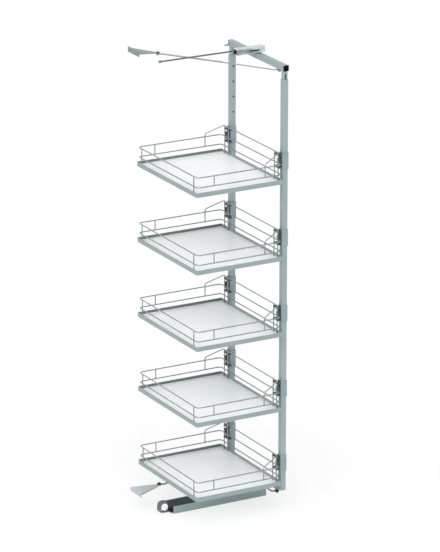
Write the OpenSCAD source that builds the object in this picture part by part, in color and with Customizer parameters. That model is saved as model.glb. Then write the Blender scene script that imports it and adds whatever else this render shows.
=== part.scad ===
// Pull-and-swing larder unit: a tall front frame with hung wire-railed trays.
// The frame turns on a slide that runs forward in a floor runner, and two link rods
// from the back of the cabinet turn it as it comes out.
// Millimetres. +Z up, the front (door side) towards -Y, +X to the right seen from behind the door.
// Origin: centre of the floor runner's screw pattern, on the cabinet floor.

/* [Trays] */
// Number of trays on the frame
tray_count = 5; // [2:1:5]
// Width of a tray, along X
tray_w = 540; // [400:1:740]
// Depth of a tray, along Y
tray_d = 419; // [330:1:480]
// Height from one tray to the next, five steps of the uprights' hole pitch
tray_pitch = 342.5; // [260:0.5:420]
// Height of the lowest tray's underside above the floor
tray_floor_gap = 132; // [126:1:200]
// Height of the rim band round a tray
rim_h = 19.6; // [14:0.1:30]
// Thickness of the rim band
rim_t = 2.8; // [1.5:0.1:4]
// Outer corner radius of a tray
rim_r = 6; // [4.5:0.5:20]
// Thickness of the base panel
panel_t = 5; // [3:0.5:7]
// Height of the base panel's underside above the rim's lower edge
panel_lift = 2; // [1:0.5:6]

/* [Wire railing] */
// Diameter of the railing wires
wire_d = 5.2; // [4:0.1:7]
// Diameter of the railing posts and of the raised front wire
post_d = 4.8; // [3:0.1:6]
// Height of the low wire above the rim's lower edge
low_wire_h = 41.5; // [32:0.5:55]
// Height of the middle wire
mid_wire_h = 85; // [70:0.5:100]
// Height of the raised front wire
top_wire_h = 132; // [115:0.5:160]
// Bend radius of the wires at a tray corner
wire_bend = 16; // [12:1:40]
// Distance of the end posts from the tray's sides
post_inset = 37; // [25:1:60]
// Distance between the two front posts beside each upright
post_gap = 31; // [20:1:50]
// Distance of the side posts from the tray's back and front edges
side_post_inset = 86; // [60:1:120]
// How far inside the side wires the raised front wire turns down
front_wire_in = 22.5; // [15:0.5:30]
// Height over the middle wire at which the raised front wire's ends turn down into side posts
front_wire_drop_h = 14; // [10:1:18]

/* [Frame] */
// Outer width of the frame over both uprights
frame_w = 479.4; // [380:0.2:600]
// Outside of the square tube
tube = 25; // [20:0.5:35]
// Wall of the square tube
tube_wall = 2; // [1.2:0.1:3]
// Corner radius of the square tube
tube_r = 1.5; // [1:0.5:5]
// Gap between a tray's front edge and the uprights
frame_gap = 14; // [9:0.5:25]
// Height of the uprights' feet above the floor
foot_z = 97; // [92:1:120]
// Length of the uprights
upright_len = 1854; // [1500:1:2100]
// Length of the height adjustment that stands out of each upright
extension_out = 38; // [25:1:150]
// Length of the height adjustment that stays in each upright
extension_in = 160; // [80:1:250]
// Slack between upright and height adjustment, on each side
extension_slack = 0.4; // [0.2:0.1:1]
// Diameter of the adjusting holes
hole_d = 8; // [4:0.5:9]
// Adjusting holes from one tray to the next
holes_per_pitch = 5; // [3:1:8]

/* [Tray clamps] */
// Height of a clamp
clamp_h = 74; // [50:1:90]
// Height of a clamp's lower edge above the rim's lower edge
clamp_lift = 55; // [48:1:70]
// Sheet thickness of a clamp
clamp_t = 3; // [1.5:0.1:4]
// Width of a hook block
hook_w = 19; // [12:1:24]

/* [Floor runner] */
// Length of the floor runner
runner_len = 463; // [420:1:600]
// Width of the floor runner
runner_w = 88; // [70:1:110]
// Height of the floor runner
runner_h = 33; // [28:1:45]
// Wall of the floor runner
runner_wall = 4; // [3.9:0.1:6]
// Diameter of the bearing balls
ball_d = 7; // [5:0.5:9]
// Balls on each side
ball_count = 9; // [4:1:14]
// Distance the frame's axis stands behind the runner's front end
axis_back = 26; // [22:1:60]
// Clearance between sliding faces
slide_clear = 0.3; // [0.2:0.05:0.6]
// Diameter of the floor screw holes
floor_hole_d = 5.5; // [4:0.5:8]
// Distance between the floor screws along the runner
floor_hole_y = 400; // [300:5:420]
// Distance between the floor screws across the runner
floor_hole_x = 44; // [30:1:50]

/* [Frame axis] */
// Diameter of the pivot studs
stud_d = 14; // [10:0.5:18]
// Radial running clearance of the pivot studs
stud_clear = 0.05; // [0.02:0.01:0.1]
// Diameter of the console post
console_d = 44; // [34:1:60]

/* [Top guide] */
// Diameter of the guide rod
rod_d = 7; // [5:0.5:10]
// Length of the guide rod
rod_len = 507; // [460:1:560]
// Height of the guide rod's centre above the top beam
rod_lift = 21; // [17:0.5:30]
// Outer width of the guide rail
rail_w = 36; // [28:0.5:50]
// Length of the guide rail
rail_len = 138; // [130:1:180]
// Sheet thickness of the guide rail
rail_t = 1.8; // [1.2:0.1:2.5]
// Length of the slot in the guide rail's side
rail_slot_len = 84; // [50:1:90]
// Distance between the guide rail's ceiling screws
rail_hole_gap = 52; // [30:1:54]
// Width of the swivel block on the rod
swivel_w = 20; // [16:0.5:26]

/* [Links] */
// Angle that the links turn the frame by
swing = 82; // [60:1:82]
// Distance of the link's frame pivot inside the frame's left side
link_inset = 54.7; // [50:0.1:85]
// Place of the wall pivots to the right of the frame's axis
wall_pivot_x = 110; // [60:1:160]
// Distance of the wall pivots behind the frame's axis
wall_pivot_back = 426; // [380:1:470]
// Diameter of a link's tube half
link_tube_d = 7; // [6:0.5:10]
// Diameter of a link's rod half
link_rod_d = 5.2; // [4:0.1:7]
// Drop of the upper link from the wall pivot to the frame
top_link_drop = 55; // [20:1:80]
// Height of the lower link above the floor
bottom_link_z = 86; // [76:1:90]
// Drop of the lower link's end below its run
bottom_link_joggle = 12; // [6:1:20]
// Diameter of a link eye
eye_d = 20; // [16:0.5:24]
// Thickness of a link eye
eye_t = 4; // [3:0.5:6]
// Gap at the open pivot between a link and the frame
open_gap = 0.5; // [0.3:0.1:1]

/* [Wall brackets] */
// Width of a bracket's flange
flange_w = 100; // [70:1:120]
// Height of the lower bracket's flange
bottom_flange_h = 17; // [12:1:22]
// Height of the upper bracket's flange
top_flange_h = 24; // [18:1:40]
// Sheet thickness of a bracket
bracket_t = 3; // [2:0.1:4]
// Length of the lower bracket's arm from flange to pivot
bottom_arm = 125; // [100:1:160]
// Length of the upper bracket's arm from flange to pivot
top_arm = 72; // [60:1:110]
// Place of the lower bracket's flange to the right of its pivot
bottom_lean = -16; // [-40:1:40]
// Place of the upper bracket's flange to the right of its pivot
top_lean = 86; // [0:1:100]
// Distance between a bracket's two screw holes
flange_hole_gap = 64; // [40:1:80]
// Diameter of a bracket's screw holes
flange_hole_d = 5; // [4:0.5:7]

/* [Hidden] */
$fn = 48;
eps = 0.01;

// Frame and trays
half_frame = frame_w / 2;
axis_y = -runner_len / 2 + axis_back;
tube_in = tube - 2 * tube_wall;
upright_x = half_frame - tube / 2;
frame_back_y = axis_y + tube / 2;
tray_front_y = frame_back_y + frame_gap;
tray_mid_y = tray_front_y + tray_d / 2;
tray_back_y = tray_front_y + tray_d;
hole_pitch = tray_pitch / holes_per_pitch;
upright_top_z = foot_z + upright_len;
beam_z = upright_top_z + extension_out;
beam_top_z = beam_z + tube;
ext = tube_in - 2 * extension_slack;
ext_wall = 2;

// Railing
wire_r = wire_d / 2;
post_r = post_d / 2;
wire_inset = rim_t + wire_r;
wire_x = tray_w / 2 - wire_inset;
wire_front_y = tray_front_y + wire_inset;
wire_back_y = tray_back_y - wire_inset;
panel_top = panel_lift + panel_t;
end_post_x = tray_w / 2 - post_inset;
inner_post_x = end_post_x - post_gap;
side_post_front_y = tray_front_y + side_post_inset;
side_post_back_y = tray_back_y - side_post_inset;

// Links: the forward travel ends where they have turned the frame by its full swing
link_reach = half_frame - link_inset;
link_dx = -link_reach - wall_pivot_x;
link_dy = -wall_pivot_back;
link_len = norm([link_dx, link_dy]);
link_turn = atan2(link_dy, link_dx);
wall_pivot_y = axis_y + wall_pivot_back;
link_end_x = -link_reach * cos(swing);
link_end_y = link_reach * sin(swing);
travel = link_end_y - wall_pivot_back + sqrt(pow(link_len, 2) - pow(wall_pivot_x - link_end_x, 2));

// Floor runner: the balls run in a groove in the channel and one in the slide
groove_r = ball_d / 2 + slide_clear;
ball_z = runner_h / 2;
ball_x = runner_w / 2 - runner_wall - 2;
slide_gap = 4;
slide_w = runner_w - 2 * runner_wall - 2 * slide_gap;
slide_top_z = runner_h - 2;
slide_floor_gap = 2;
runner_base_t = 3;
slide_front_y = -runner_len / 2 + 3;
slide_len = runner_len + 9;
slide_rear_y = slide_front_y + slide_len;
cage_len = runner_len - travel - 18;
cage_mid_y = -runner_len / 2 + 4 + (travel + cage_len) / 2;
cage_t = 1.2;
cage_h = ball_d + 6;

// End block behind the slide, on a tongue of the channel's base, with the catch roller on its left face
block_x = -13;
block_w = 35;
block_front_y = slide_rear_y + 0.5;
block_r = 17;
roller_d = 30;
roller_t = 7;
roller_y = block_front_y + block_r;
roller_z = 28;
roller_pin_d = 6;
roller_pin_in = 14;

// Console and swivel
console_base = 66;
console_base_t = 5;
console_behind = 3;
bush_wall = 3;
bush_top_z = foot_z - 2;
stud_len = 46;

// Top guide
rod_z = beam_top_z + rod_lift;
rod_front_y = axis_y - 28.5;
rail_front_y = rod_front_y + 4;
rail_top_z = rod_z + rod_d / 2 + 4.5;
rail_bottom_z = beam_top_z + 3;
rail_in = rail_w - 2 * rail_t;
rail_slot_behind = 43.5;
rail_slot_y = axis_y + rail_slot_behind;
rail_slot_h = 6;
swivel_len = 30;
swivel_bottom_z = beam_top_z + 1;
swivel_top_z = rail_top_z - rail_t - 0.6;

// Heights of the links and their pivots
pivot_boss_d = 18;
top_boss_t = 4;
top_eye_top_z = beam_z - top_boss_t - open_gap;
top_link_z = top_eye_top_z - eye_t / 2;
top_arm_z = top_link_z + top_link_drop;
corner_plate_t = 3;
bottom_end_z = bottom_link_z - bottom_link_joggle;
bottom_bush_t = foot_z - corner_plate_t - open_gap - bottom_end_z - eye_t / 2;
pin_d = 6;
tongue = eye_d / 2 + 5;
level_len = 26;
collar_h = 3.5;
tube_share = 0.52;

TRAY_NODES = [for (part = ["tray_panel", "tray_rim", "tray_railing", "tray_clamps", "tray_hooks"])
    for (k = [1 : tray_count]) str(part, "_", k)];

// ---------------------------------------------------------------- helpers

// A box from one corner to the other
module span(low, high) {
    translate(low) cube(high - low);
}

// Rectangle with round corners, centred
module round_rect(w, d, r) {
    square([w - 2 * r, d], center = true);
    square([w, d - 2 * r], center = true);
    for (sx = [-1, 1], sy = [-1, 1])
        translate([sx * (w / 2 - r), sy * (d / 2 - r)]) circle(r = r);
}

// Slot outline along X, centred
module slot_shape(len, w) {
    square([len - w, w], center = true);
    for (s = [-1, 1]) translate([s * (len - w) / 2, 0]) circle(d = w);
}

// Square tube along Z
module square_tube(size, wall, r, len) {
    linear_extrude(height = len) difference() {
        round_rect(size, size, r);
        round_rect(size - 2 * wall, size - 2 * wall, max(r - wall, 0.5));
    }
}

// Straight round bar from a to b
module bar(a, b, r) {
    d = b - a;
    translate(a) rotate([0, acos(d.z / norm(d)), atan2(d.y, d.x)])
        cylinder(r = r, h = norm(d), $fn = 24);
}

function unit(v) = v / norm(v);
function slanted(u) = max([for (c = u) abs(c)]) < 0.9999;
function bend_cut(u, v, bend) = bend * tan(acos(max(-1, min(1, u * v))) / 2);

// Arc that carries a round bar round the corner p, from direction u to direction v
module bend_arc(p, u, v, bend, r) {
    turn = acos(u * v);
    n = unit(v - (u * v) * u);
    k = cross(u, n);
    c = p - u * bend_cut(u, v, bend) + n * bend;
    multmatrix([[-n.x, u.x, k.x, c.x], [-n.y, u.y, k.y, c.y], [-n.z, u.z, k.z, c.z], [0, 0, 0, 1]])
        rotate_extrude(angle = turn) translate([bend, 0]) circle(r = r, $fn = 24);
}

// Bent wire through points, with the same bend radius at each inner point
module wire(points, bend, r) {
    last = len(points) - 1;
    dirs = [for (i = [0 : last - 1]) unit(points[i + 1] - points[i])];
    for (i = [0 : last - 1]) {
        from_cut = i == 0 ? 0 : bend_cut(dirs[i - 1], dirs[i], bend);
        to_cut = i == last - 1 ? 0 : bend_cut(dirs[i], dirs[i + 1], bend);
        bar(points[i] + dirs[i] * from_cut, points[i + 1] - dirs[i] * to_cut, r);
    }
    for (i = [1 : last - 1]) {
        cut = bend_cut(dirs[i - 1], dirs[i], bend);
        bend_arc(points[i], dirs[i - 1], dirs[i], bend, r);
        if (slanted(dirs[i - 1]) || slanted(dirs[i])) {
            bend_sleeve(points[i] - dirs[i - 1] * cut, dirs[i - 1], r);
            bend_sleeve(points[i] + dirs[i] * cut, dirs[i], r);
        }
    }
}

// Where a slanted stretch meets a bend, a short sleeve a hair thicker than the wire joins the two
module bend_sleeve(p, u, r) {
    sleeve_len = 2;
    sleeve_t = 0.15;
    bar(p - u * sleeve_len / 2, p + u * sleeve_len / 2, r + sleeve_t);
}

// Moves its children to the wall pivot and turns +X along the link
module along_link() {
    translate([wall_pivot_x, wall_pivot_y, 0]) rotate([0, 0, link_turn]) children();
}

// ---------------------------------------------------------------- floor runner

module runner_channel() {
    color([0.62, 0.69, 0.69]) difference() {
        translate([0, runner_len / 2, 0]) rotate([90, 0, 0]) linear_extrude(height = runner_len)
            difference() {
                translate([-runner_w / 2, 0]) square([runner_w, runner_h]);
                translate([-runner_w / 2 + runner_wall, runner_base_t])
                    square([runner_w - 2 * runner_wall, runner_h]);
                for (s = [-1, 1]) translate([s * ball_x, ball_z]) circle(r = groove_r);
            }
        for (sx = [-1, 1], sy = [-1, 1])
            translate([sx * floor_hole_x / 2, sy * floor_hole_y / 2, -eps])
                cylinder(d = floor_hole_d, h = runner_base_t + 2 * eps);
    }
    // tongue of the base that carries the end block
    color([0.62, 0.69, 0.69])
        span([block_x, runner_len / 2 - 1, 0], [block_x + block_w, roller_y + block_r / 2, runner_base_t]);
}

// Dark end block, rounded over the catch roller
module runner_end_block() {
    color([0.16, 0.18, 0.18]) difference() {
        translate([block_x, 0, 0]) rotate([90, 0, 90]) linear_extrude(height = block_w) {
            translate([block_front_y, runner_base_t])
                square([block_r, roller_z + block_r - runner_base_t]);
            translate([block_front_y, runner_base_t]) square([2 * block_r, roller_z - runner_base_t]);
            translate([roller_y, roller_z]) circle(r = block_r);
        }
        translate([block_x - eps, roller_y, roller_z]) rotate([0, 90, 0])
            cylinder(d = roller_pin_d, h = roller_pin_in);
    }
}

module catch_roller() {
    edge = 1.5;
    color([0.93, 0.95, 0.94]) translate([block_x - slide_clear, roller_y, roller_z])
        rotate([0, -90, 0]) rotate_extrude() difference() {
            union() {
                square([roller_d / 2, roller_t - edge]);
                square([roller_d / 2 - edge, roller_t]);
                translate([roller_d / 2 - edge, roller_t - edge]) circle(r = edge);
            }
            translate([0, -eps]) square([roller_pin_d / 2 + stud_clear, roller_t + 2 * eps]);
        }
}

module roller_pin() {
    head_t = 2;
    color([0.72, 0.75, 0.77]) translate([block_x, roller_y, roller_z]) rotate([0, -90, 0]) {
        translate([0, 0, -roller_pin_in + 1])
            cylinder(d = roller_pin_d, h = roller_pin_in + roller_t + 2 * slide_clear);
        translate([0, 0, roller_t + 2 * slide_clear])
            cylinder(d1 = roller_pin_d + 5, d2 = roller_pin_d + 3, h = head_t);
    }
}

module ball_cages() {
    color([0.75, 0.76, 0.74]) for (s = [-1, 1]) difference() {
        translate([s * ball_x, cage_mid_y, ball_z]) cube([cage_t, cage_len, cage_h], center = true);
        for (i = [0 : ball_count - 1]) translate([s * ball_x, ball_y(i), ball_z])
            rotate([0, 90, 0]) cylinder(d = ball_d + 0.1, h = cage_t * 4, center = true);
    }
}

function ball_y(i) = cage_mid_y + (i - (ball_count - 1) / 2) * cage_len / ball_count;

module bearing_balls() {
    color([0.85, 0.87, 0.88]) for (s = [-1, 1], i = [0 : ball_count - 1])
        translate([s * ball_x, ball_y(i), ball_z]) sphere(d = ball_d, $fn = 32);
}

// ---------------------------------------------------------------- slide, console and swivel

module inner_slide() {
    web = 9;
    low_z = runner_base_t + slide_floor_gap;
    color([0.09, 0.10, 0.11]) translate([0, slide_rear_y, 0]) rotate([90, 0, 0])
        linear_extrude(height = slide_len) difference() {
            translate([-slide_w / 2, low_z]) square([slide_w, slide_top_z - low_z]);
            translate([-slide_w / 2 + web, -eps]) square([slide_w - 2 * web, slide_top_z - 4]);
            for (s = [-1, 1]) translate([s * ball_x, ball_z]) circle(r = groove_r);
        }
}

module pivot_console() {
    flare = 14;
    flare_h = 7;
    fin_t = 4;
    fin_h = 34;
    fin_in = 4;
    fin_len = 9;
    color([0.56, 0.60, 0.62]) difference() {
        union() {
            translate([0, axis_y + console_behind, slide_top_z])
                linear_extrude(height = console_base_t) round_rect(console_base, console_base, 6);
            translate([0, axis_y, slide_top_z]) cylinder(d = console_d, h = bush_top_z - slide_top_z - 1.5);
            translate([0, axis_y, slide_top_z + console_base_t])
                cylinder(d1 = console_d + flare, d2 = console_d, h = flare_h);
            for (a = [90 : 120 : 330]) translate([0, axis_y, slide_top_z]) rotate([0, 0, a])
                translate([console_d / 2 - fin_in, -fin_t / 2, 0]) cube([fin_len, fin_t, fin_h]);
        }
        translate([0, axis_y, slide_top_z + console_base_t])
            cylinder(r = stud_d / 2 + stud_clear + bush_wall, h = foot_z);
    }
}

module console_bush() {
    outer = stud_d / 2 + stud_clear + bush_wall;
    color([0.14, 0.14, 0.15]) difference() {
        union() {
            translate([0, axis_y, slide_top_z + console_base_t])
                cylinder(r = outer, h = bush_top_z - slide_top_z - console_base_t);
            translate([0, axis_y, bush_top_z - 1.5]) cylinder(r = outer + 5, h = 1.5);
        }
        translate([0, axis_y, slide_top_z + console_base_t - eps])
            cylinder(r = stud_d / 2 + stud_clear, h = foot_z);
    }
}

// Pivot studs on the frame's axis: one under the bottom beam and one on the top beam
top_stud_d = 8;
top_stud_len = 8;
module pivot_studs() {
    color([0.72, 0.75, 0.77]) {
        translate([0, axis_y, foot_z - stud_len]) {
            translate([0, 0, 2]) cylinder(d = stud_d, h = stud_len - 2);
            cylinder(d1 = stud_d - 4, d2 = stud_d, h = 2);
        }
        translate([0, axis_y, beam_top_z]) cylinder(d = top_stud_d, h = top_stud_len);
    }
}

module swivel_block() {
    corner = 2;
    color([0.15, 0.15, 0.16]) difference() {
        translate([0, axis_y, swivel_bottom_z]) linear_extrude(height = swivel_top_z - swivel_bottom_z)
            round_rect(swivel_w, swivel_len, corner);
        translate([0, axis_y, swivel_bottom_z - eps])
            cylinder(r = top_stud_d / 2 + stud_clear, h = top_stud_len + 0.5);
        translate([0, axis_y, rod_z]) rotate([90, 0, 0])
            cylinder(d = rod_d, h = swivel_len + 1, center = true);
    }
}

module guide_rod() {
    color([0.42, 0.44, 0.45]) translate([0, rod_front_y + rod_len, rod_z]) rotate([90, 0, 0]) {
        cylinder(d = rod_d, h = rod_len - 1);
        translate([0, 0, rod_len - 1]) cylinder(d1 = rod_d, d2 = rod_d - 2, h = 1);
    }
}

module guide_rod_bumper() {
    cap_d = rod_d + 4;
    cap_len = 12;
    color([0.55, 0.50, 0.47]) translate([0, rod_front_y + rod_len + 2, rod_z]) rotate([90, 0, 0])
        difference() {
            rotate_extrude() {
                translate([0, 2]) square([cap_d / 2, cap_len - 2]);
                square([cap_d / 2 - 2, 3]);
                translate([cap_d / 2 - 2, 2]) circle(r = 2);
            }
            translate([0, 0, 2]) cylinder(d = rod_d, h = cap_len);
        }
}

// Slotted guide rail, an inverted channel that screws up under the cabinet's top, and its two bushes
bush_len = 12;
bush_rear_y = rail_front_y + rail_len - 4 - bush_len / 2;
bush_front_y = axis_y + swivel_len / 2 + 3 + bush_len / 2;
rail_screw_y = (bush_front_y + bush_rear_y) / 2;
module guide_rail() {
    side_hole_d = 5;
    side_hole_in = 8;
    side_hole_up = 7;
    color([0.86, 0.89, 0.89]) difference() {
        translate([0, rail_front_y + rail_len, 0]) rotate([90, 0, 0]) linear_extrude(height = rail_len)
            translate([0, (rail_top_z + rail_bottom_z) / 2]) difference() {
                round_rect(rail_w, rail_top_z - rail_bottom_z, 2.5);
                translate([-rail_in / 2, -(rail_top_z - rail_bottom_z) / 2 - eps])
                    square([rail_in, rail_top_z - rail_bottom_z - rail_t + eps]);
            }
        translate([-rail_w / 2, rail_slot_y, (rail_top_z + rail_bottom_z) / 2]) rotate([90, 0, 90])
            linear_extrude(height = 3 * rail_t, center = true) slot_shape(rail_slot_len, rail_slot_h);
        translate([-rail_w / 2, rail_front_y + side_hole_in, rail_bottom_z + side_hole_up])
            rotate([0, 90, 0]) cylinder(d = side_hole_d, h = 3 * rail_t, center = true);
        for (s = [-1, 1]) translate([0, rail_screw_y + s * rail_hole_gap / 2, rail_top_z - rail_t - eps])
            cylinder(d = flange_hole_d, h = rail_t + 2 * eps);
    }
}

module guide_bushes() {
    low_z = rail_bottom_z + 2;
    high_z = rail_top_z - rail_t;
    color([0.13, 0.14, 0.14]) for (y = [bush_rear_y, bush_front_y]) difference() {
        span([-rail_in / 2, y - bush_len / 2, low_z], [rail_in / 2, y + bush_len / 2, high_z]);
        translate([0, y, rod_z]) rotate([90, 0, 0])
            cylinder(d = rod_d + 0.12, h = bush_len + 1, center = true);
    }
}

// ---------------------------------------------------------------- frame

module upright(side) {
    hole_z0 = tray_floor_gap + clamp_lift + clamp_h / 2 + hole_pitch / 2;
    top_margin = 30;
    holes = floor((upright_top_z - top_margin - hole_z0) / hole_pitch);
    color([0.62, 0.69, 0.69]) difference() {
        translate([side * upright_x, axis_y, foot_z]) square_tube(tube, tube_wall, tube_r, upright_len);
        for (i = [0 : holes]) translate([side * (upright_x - tube / 2), axis_y, hole_z0 + i * hole_pitch])
            rotate([0, 90, 0]) cylinder(d = hole_d, h = 3 * tube_wall, center = true);
        translate([side * upright_x, axis_y - tube / 2, screw_z]) rotate([90, 0, 0])
            cylinder(d = screw_d, h = 3 * tube_wall, center = true);
    }
}

// Height adjustment: a tube that stands in the upright and carries the top beam
screw_d = 6;
screw_z = upright_top_z - 22;
module extension(side) {
    slot = 56;
    slot_w = 8;
    slot_down = 4;
    low_hole = 5;
    top_hole = extension_out - 10;
    color([0.66, 0.71, 0.72]) difference() {
        translate([side * upright_x, axis_y, upright_top_z - extension_in])
            square_tube(ext, ext_wall, 2, extension_in + extension_out);
        translate([side * (upright_x + ext / 2), axis_y, upright_top_z - slot_down]) rotate([90, 90, 90])
            linear_extrude(height = 3 * ext_wall, center = true) slot_shape(slot, slot_w);
        translate([side * upright_x, axis_y - ext / 2, screw_z]) rotate([90, 90, 0])
            linear_extrude(height = 3 * ext_wall, center = true) slot_shape(slot, screw_d);
        // two adjusting holes stand clear of the upright, on its inner side
        for (h = [low_hole, top_hole])
            translate([side * (upright_x - ext / 2), axis_y, upright_top_z + h])
                rotate([0, 90, 0]) cylinder(d = hole_d, h = 3 * ext_wall, center = true);
    }
}

// Clamp screws of the height adjustment, on the door side
module height_screws() {
    head_d = 12;
    head_h = 3.5;
    shank = tube_wall + ext_wall + 6;
    socket = 4;
    color([0.70, 0.72, 0.73]) for (s = [-1, 1])
        translate([s * upright_x, axis_y - tube / 2, screw_z]) rotate([90, 0, 0])
            difference() {
                union() {
                    cylinder(d = head_d, h = head_h);
                    translate([0, 0, -shank]) cylinder(d = screw_d - 0.4, h = shank + eps);
                }
                translate([0, 0, head_h - 2]) cylinder(d = socket / cos(30), h = 3, $fn = 6);
            }
}

module beam(z) {
    translate([-half_frame + beam_end(z), axis_y, z + tube / 2]) rotate([90, 0, 90])
        square_tube(tube, tube_wall, tube_r, frame_w - 2 * beam_end(z));
}

// The bottom beam ends at the uprights, the top beam runs over them
function beam_end(z) = z < beam_z ? tube : 0;

module bottom_beam() {
    color([0.62, 0.69, 0.69]) beam(foot_z);
}

module top_beam() {
    color([0.62, 0.69, 0.69]) beam(beam_z);
}

module beam_caps() {
    cap_t = 2.5;
    plug_len = 12;
    color([0.05, 0.05, 0.05]) for (s = [-1, 1]) {
        translate([s * (half_frame + cap_t / 2), axis_y, beam_z + tube / 2]) rotate([90, 0, 90])
            linear_extrude(height = cap_t, center = true) round_rect(tube, tube, tube_r);
        translate([s * (half_frame - plug_len / 2), axis_y, beam_z + tube / 2]) rotate([90, 0, 90])
            linear_extrude(height = plug_len, center = true) round_rect(tube_in - 1, tube_in - 1, 1);
    }
}

// Folded corner brackets between the bottom beam and the uprights; the left one carries the lower link
module corner_brackets() {
    low = foot_z - corner_plate_t;
    back = axis_y + tube / 2;
    outer_x = upright_x - tube / 2;
    inner_x = link_reach - pivot_boss_d / 2 - 4;
    fold_h = tube + corner_plate_t + 1;
    rivet_in = 9;
    rivet_d = 9;
    rivet_h = 2.5;
    color([0.64, 0.70, 0.75]) for (s = [0, 1]) mirror([s, 0, 0]) {
        span([inner_x, axis_y - tube / 2, low], [outer_x, back, foot_z]);
        span([inner_x, back, low - 3], [outer_x, back + corner_plate_t, low - 3 + fold_h]);
        for (x = [inner_x + rivet_in, outer_x - rivet_in])
            translate([x, back + corner_plate_t, foot_z + tube / 2]) rotate([-90, 0, 0])
                cylinder(d = rivet_d, h = rivet_h);
    }
}

// Peg at the right end of the top beam, on its cabinet side
module beam_peg() {
    peg_d = 7;
    peg_len = 20;
    peg_in = 4;
    peg_up = 4.5;
    shoulder = 3;
    color([0.68, 0.72, 0.72]) translate([half_frame - peg_in, axis_y + tube / 2, beam_z + peg_up])
        rotate([-90, 0, 0]) {
            cylinder(d = peg_d, h = peg_len);
            cylinder(d = peg_d + 2, h = shoulder);
        }
}

// Boss under the top beam and bush under the corner bracket, where the links' eyes turn
module link_bushes() {
    color([0.12, 0.12, 0.13]) {
        translate([-link_reach, axis_y, beam_z - top_boss_t]) cylinder(d = pivot_boss_d, h = top_boss_t);
        translate([-link_reach, axis_y, foot_z - corner_plate_t - bottom_bush_t])
            cylinder(d1 = pivot_boss_d - 2, d2 = pivot_boss_d, h = bottom_bush_t);
    }
}

// ---------------------------------------------------------------- links and wall brackets

// Flattened end of a link: a round eye and the tongue that reaches towards the rod
module flat_end(z, dir) {
    translate([0, 0, z - eye_t / 2]) {
        cylinder(d = eye_d, h = eye_t);
        translate([min(0, dir * tongue), -link_tube_d / 2 - 1, 0])
            cube([tongue, link_tube_d + 2, eye_t]);
    }
}

// Collar under the eye at the frame end, with the height of its nut
module end_collar(z) {
    translate([0, 0, z - eye_t / 2 - collar_h]) cylinder(d = eye_d - 8, h = collar_h + eps);
}

function top_link_height(share) = top_arm_z - share * top_link_drop;

// Upper link: a tube from the wall pivot to the middle and a thinner rod from there
module top_link_tube() {
    color([0.70, 0.72, 0.71]) along_link() difference() {
        union() {
            flat_end(top_arm_z, 1);
            bar([tongue - 2, 0, top_arm_z], [tube_share * link_len, 0, top_link_height(tube_share)],
                link_tube_d / 2);
        }
        translate([0, 0, top_arm_z - eye_t]) cylinder(d = pin_d + 0.1, h = 2 * eye_t);
    }
}

module top_link_rod() {
    r = link_rod_d / 2;
    level_z = top_link_z + eye_t / 2 - r;
    color([0.74, 0.76, 0.75]) along_link() {
        wire([[tube_share * link_len, 0, top_link_height(tube_share)],
            [link_len - level_len, 0, level_z], [link_len - tongue + 2, 0, level_z]], 20, r);
        translate([link_len, 0, 0]) {
            flat_end(top_link_z, -1);
            end_collar(top_link_z);
        }
    }
}

// Lower link: one bent rod that arches behind the wall pivot and drops under the frame's bush at its end
module bottom_link_rod() {
    bend = 10;
    arch = 6;
    arch_start = tongue + 6;
    arch_rise = 14;
    arch_flat = 24;
    arch_fall = 18;
    arch_top = arch_start + arch_rise;
    arch_end = arch_top + arch_flat + arch_fall;
    r = link_tube_d / 2 - 0.3;
    z = bottom_link_z;
    level_z = bottom_end_z + eye_t / 2 - r;
    joggle_end = link_len - level_len;
    joggle_start = joggle_end - 1.4 * bottom_link_joggle;
    color([0.45, 0.48, 0.48]) along_link() difference() {
        union() {
            flat_end(z, 1);
            wire([[tongue - 2, 0, z], [arch_start, 0, z], [arch_top, 0, z + arch],
                [arch_top + arch_flat, 0, z + arch], [arch_end, 0, z], [joggle_start, 0, z],
                [joggle_end, 0, level_z], [link_len - tongue + 2, 0, level_z]], bend, r);
            translate([link_len, 0, 0]) {
                flat_end(bottom_end_z, -1);
                end_collar(bottom_end_z);
            }
        }
        translate([0, 0, z - eye_t]) cylinder(d = pin_d + 0.1, h = 2 * eye_t);
    }
}

// A screwed flange with a tapered arm that ends in a pivot, its pivot at the origin and flange towards +Y.
// lean shifts the flange sideways, tip_z is the arm's height in the flange.
module wall_bracket(arm, lean, flange_h, tip_z) {
    tip_w = 17;
    arm_w = flange_w - 4;
    difference() {
        union() {
            translate([lean - flange_w / 2, arm - bracket_t, -tip_z])
                cube([flange_w, bracket_t, flange_h]);
            translate([0, 0, -bracket_t / 2]) linear_extrude(height = bracket_t) {
                polygon([[-tip_w / 2, 0], [tip_w / 2, 0],
                    [lean + arm_w / 2, arm - eps], [lean - arm_w / 2, arm - eps]]);
                circle(d = tip_w);
            }
            arm_rib(arm, lean, tip_w / 2, arm_w / 2 - 2);
            arm_rib(arm, lean, -tip_w / 2, -arm_w / 2 + 2);
        }
        for (s = [-1, 1]) translate([lean + s * flange_hole_gap / 2, arm + eps, -tip_z + flange_h / 2])
            rotate([90, 0, 0]) cylinder(d = flange_hole_d, h = bracket_t + 2 * eps);
        translate([0, 0, -bracket_t]) cylinder(d = pin_d, h = 2 * bracket_t);
    }
}

// Folded-down edge of the arm, from the tip to the flange
module arm_rib(arm, lean, tip_x, flange_x) {
    rib_h = 9;
    tip_h = 4;
    rib_t = 2;
    start = eye_d / 2 + 6;
    dx = lean + flange_x - tip_x;
    len = norm([dx, arm]);
    translate([tip_x, 0, bracket_t / 2]) rotate([0, 0, atan2(arm, dx)])
        rotate([90, 0, 0]) translate([0, 0, -rib_t / 2])
            linear_extrude(height = rib_t) polygon([[start, -tip_h], [start, 0],
                [len - 4, 0], [len - 4, -rib_h]]);
}

// From the middle of a link's eye to the middle of the bracket arm that it turns on
arm_to_link = eye_t / 2 + bracket_t / 2 + slide_clear;

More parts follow.
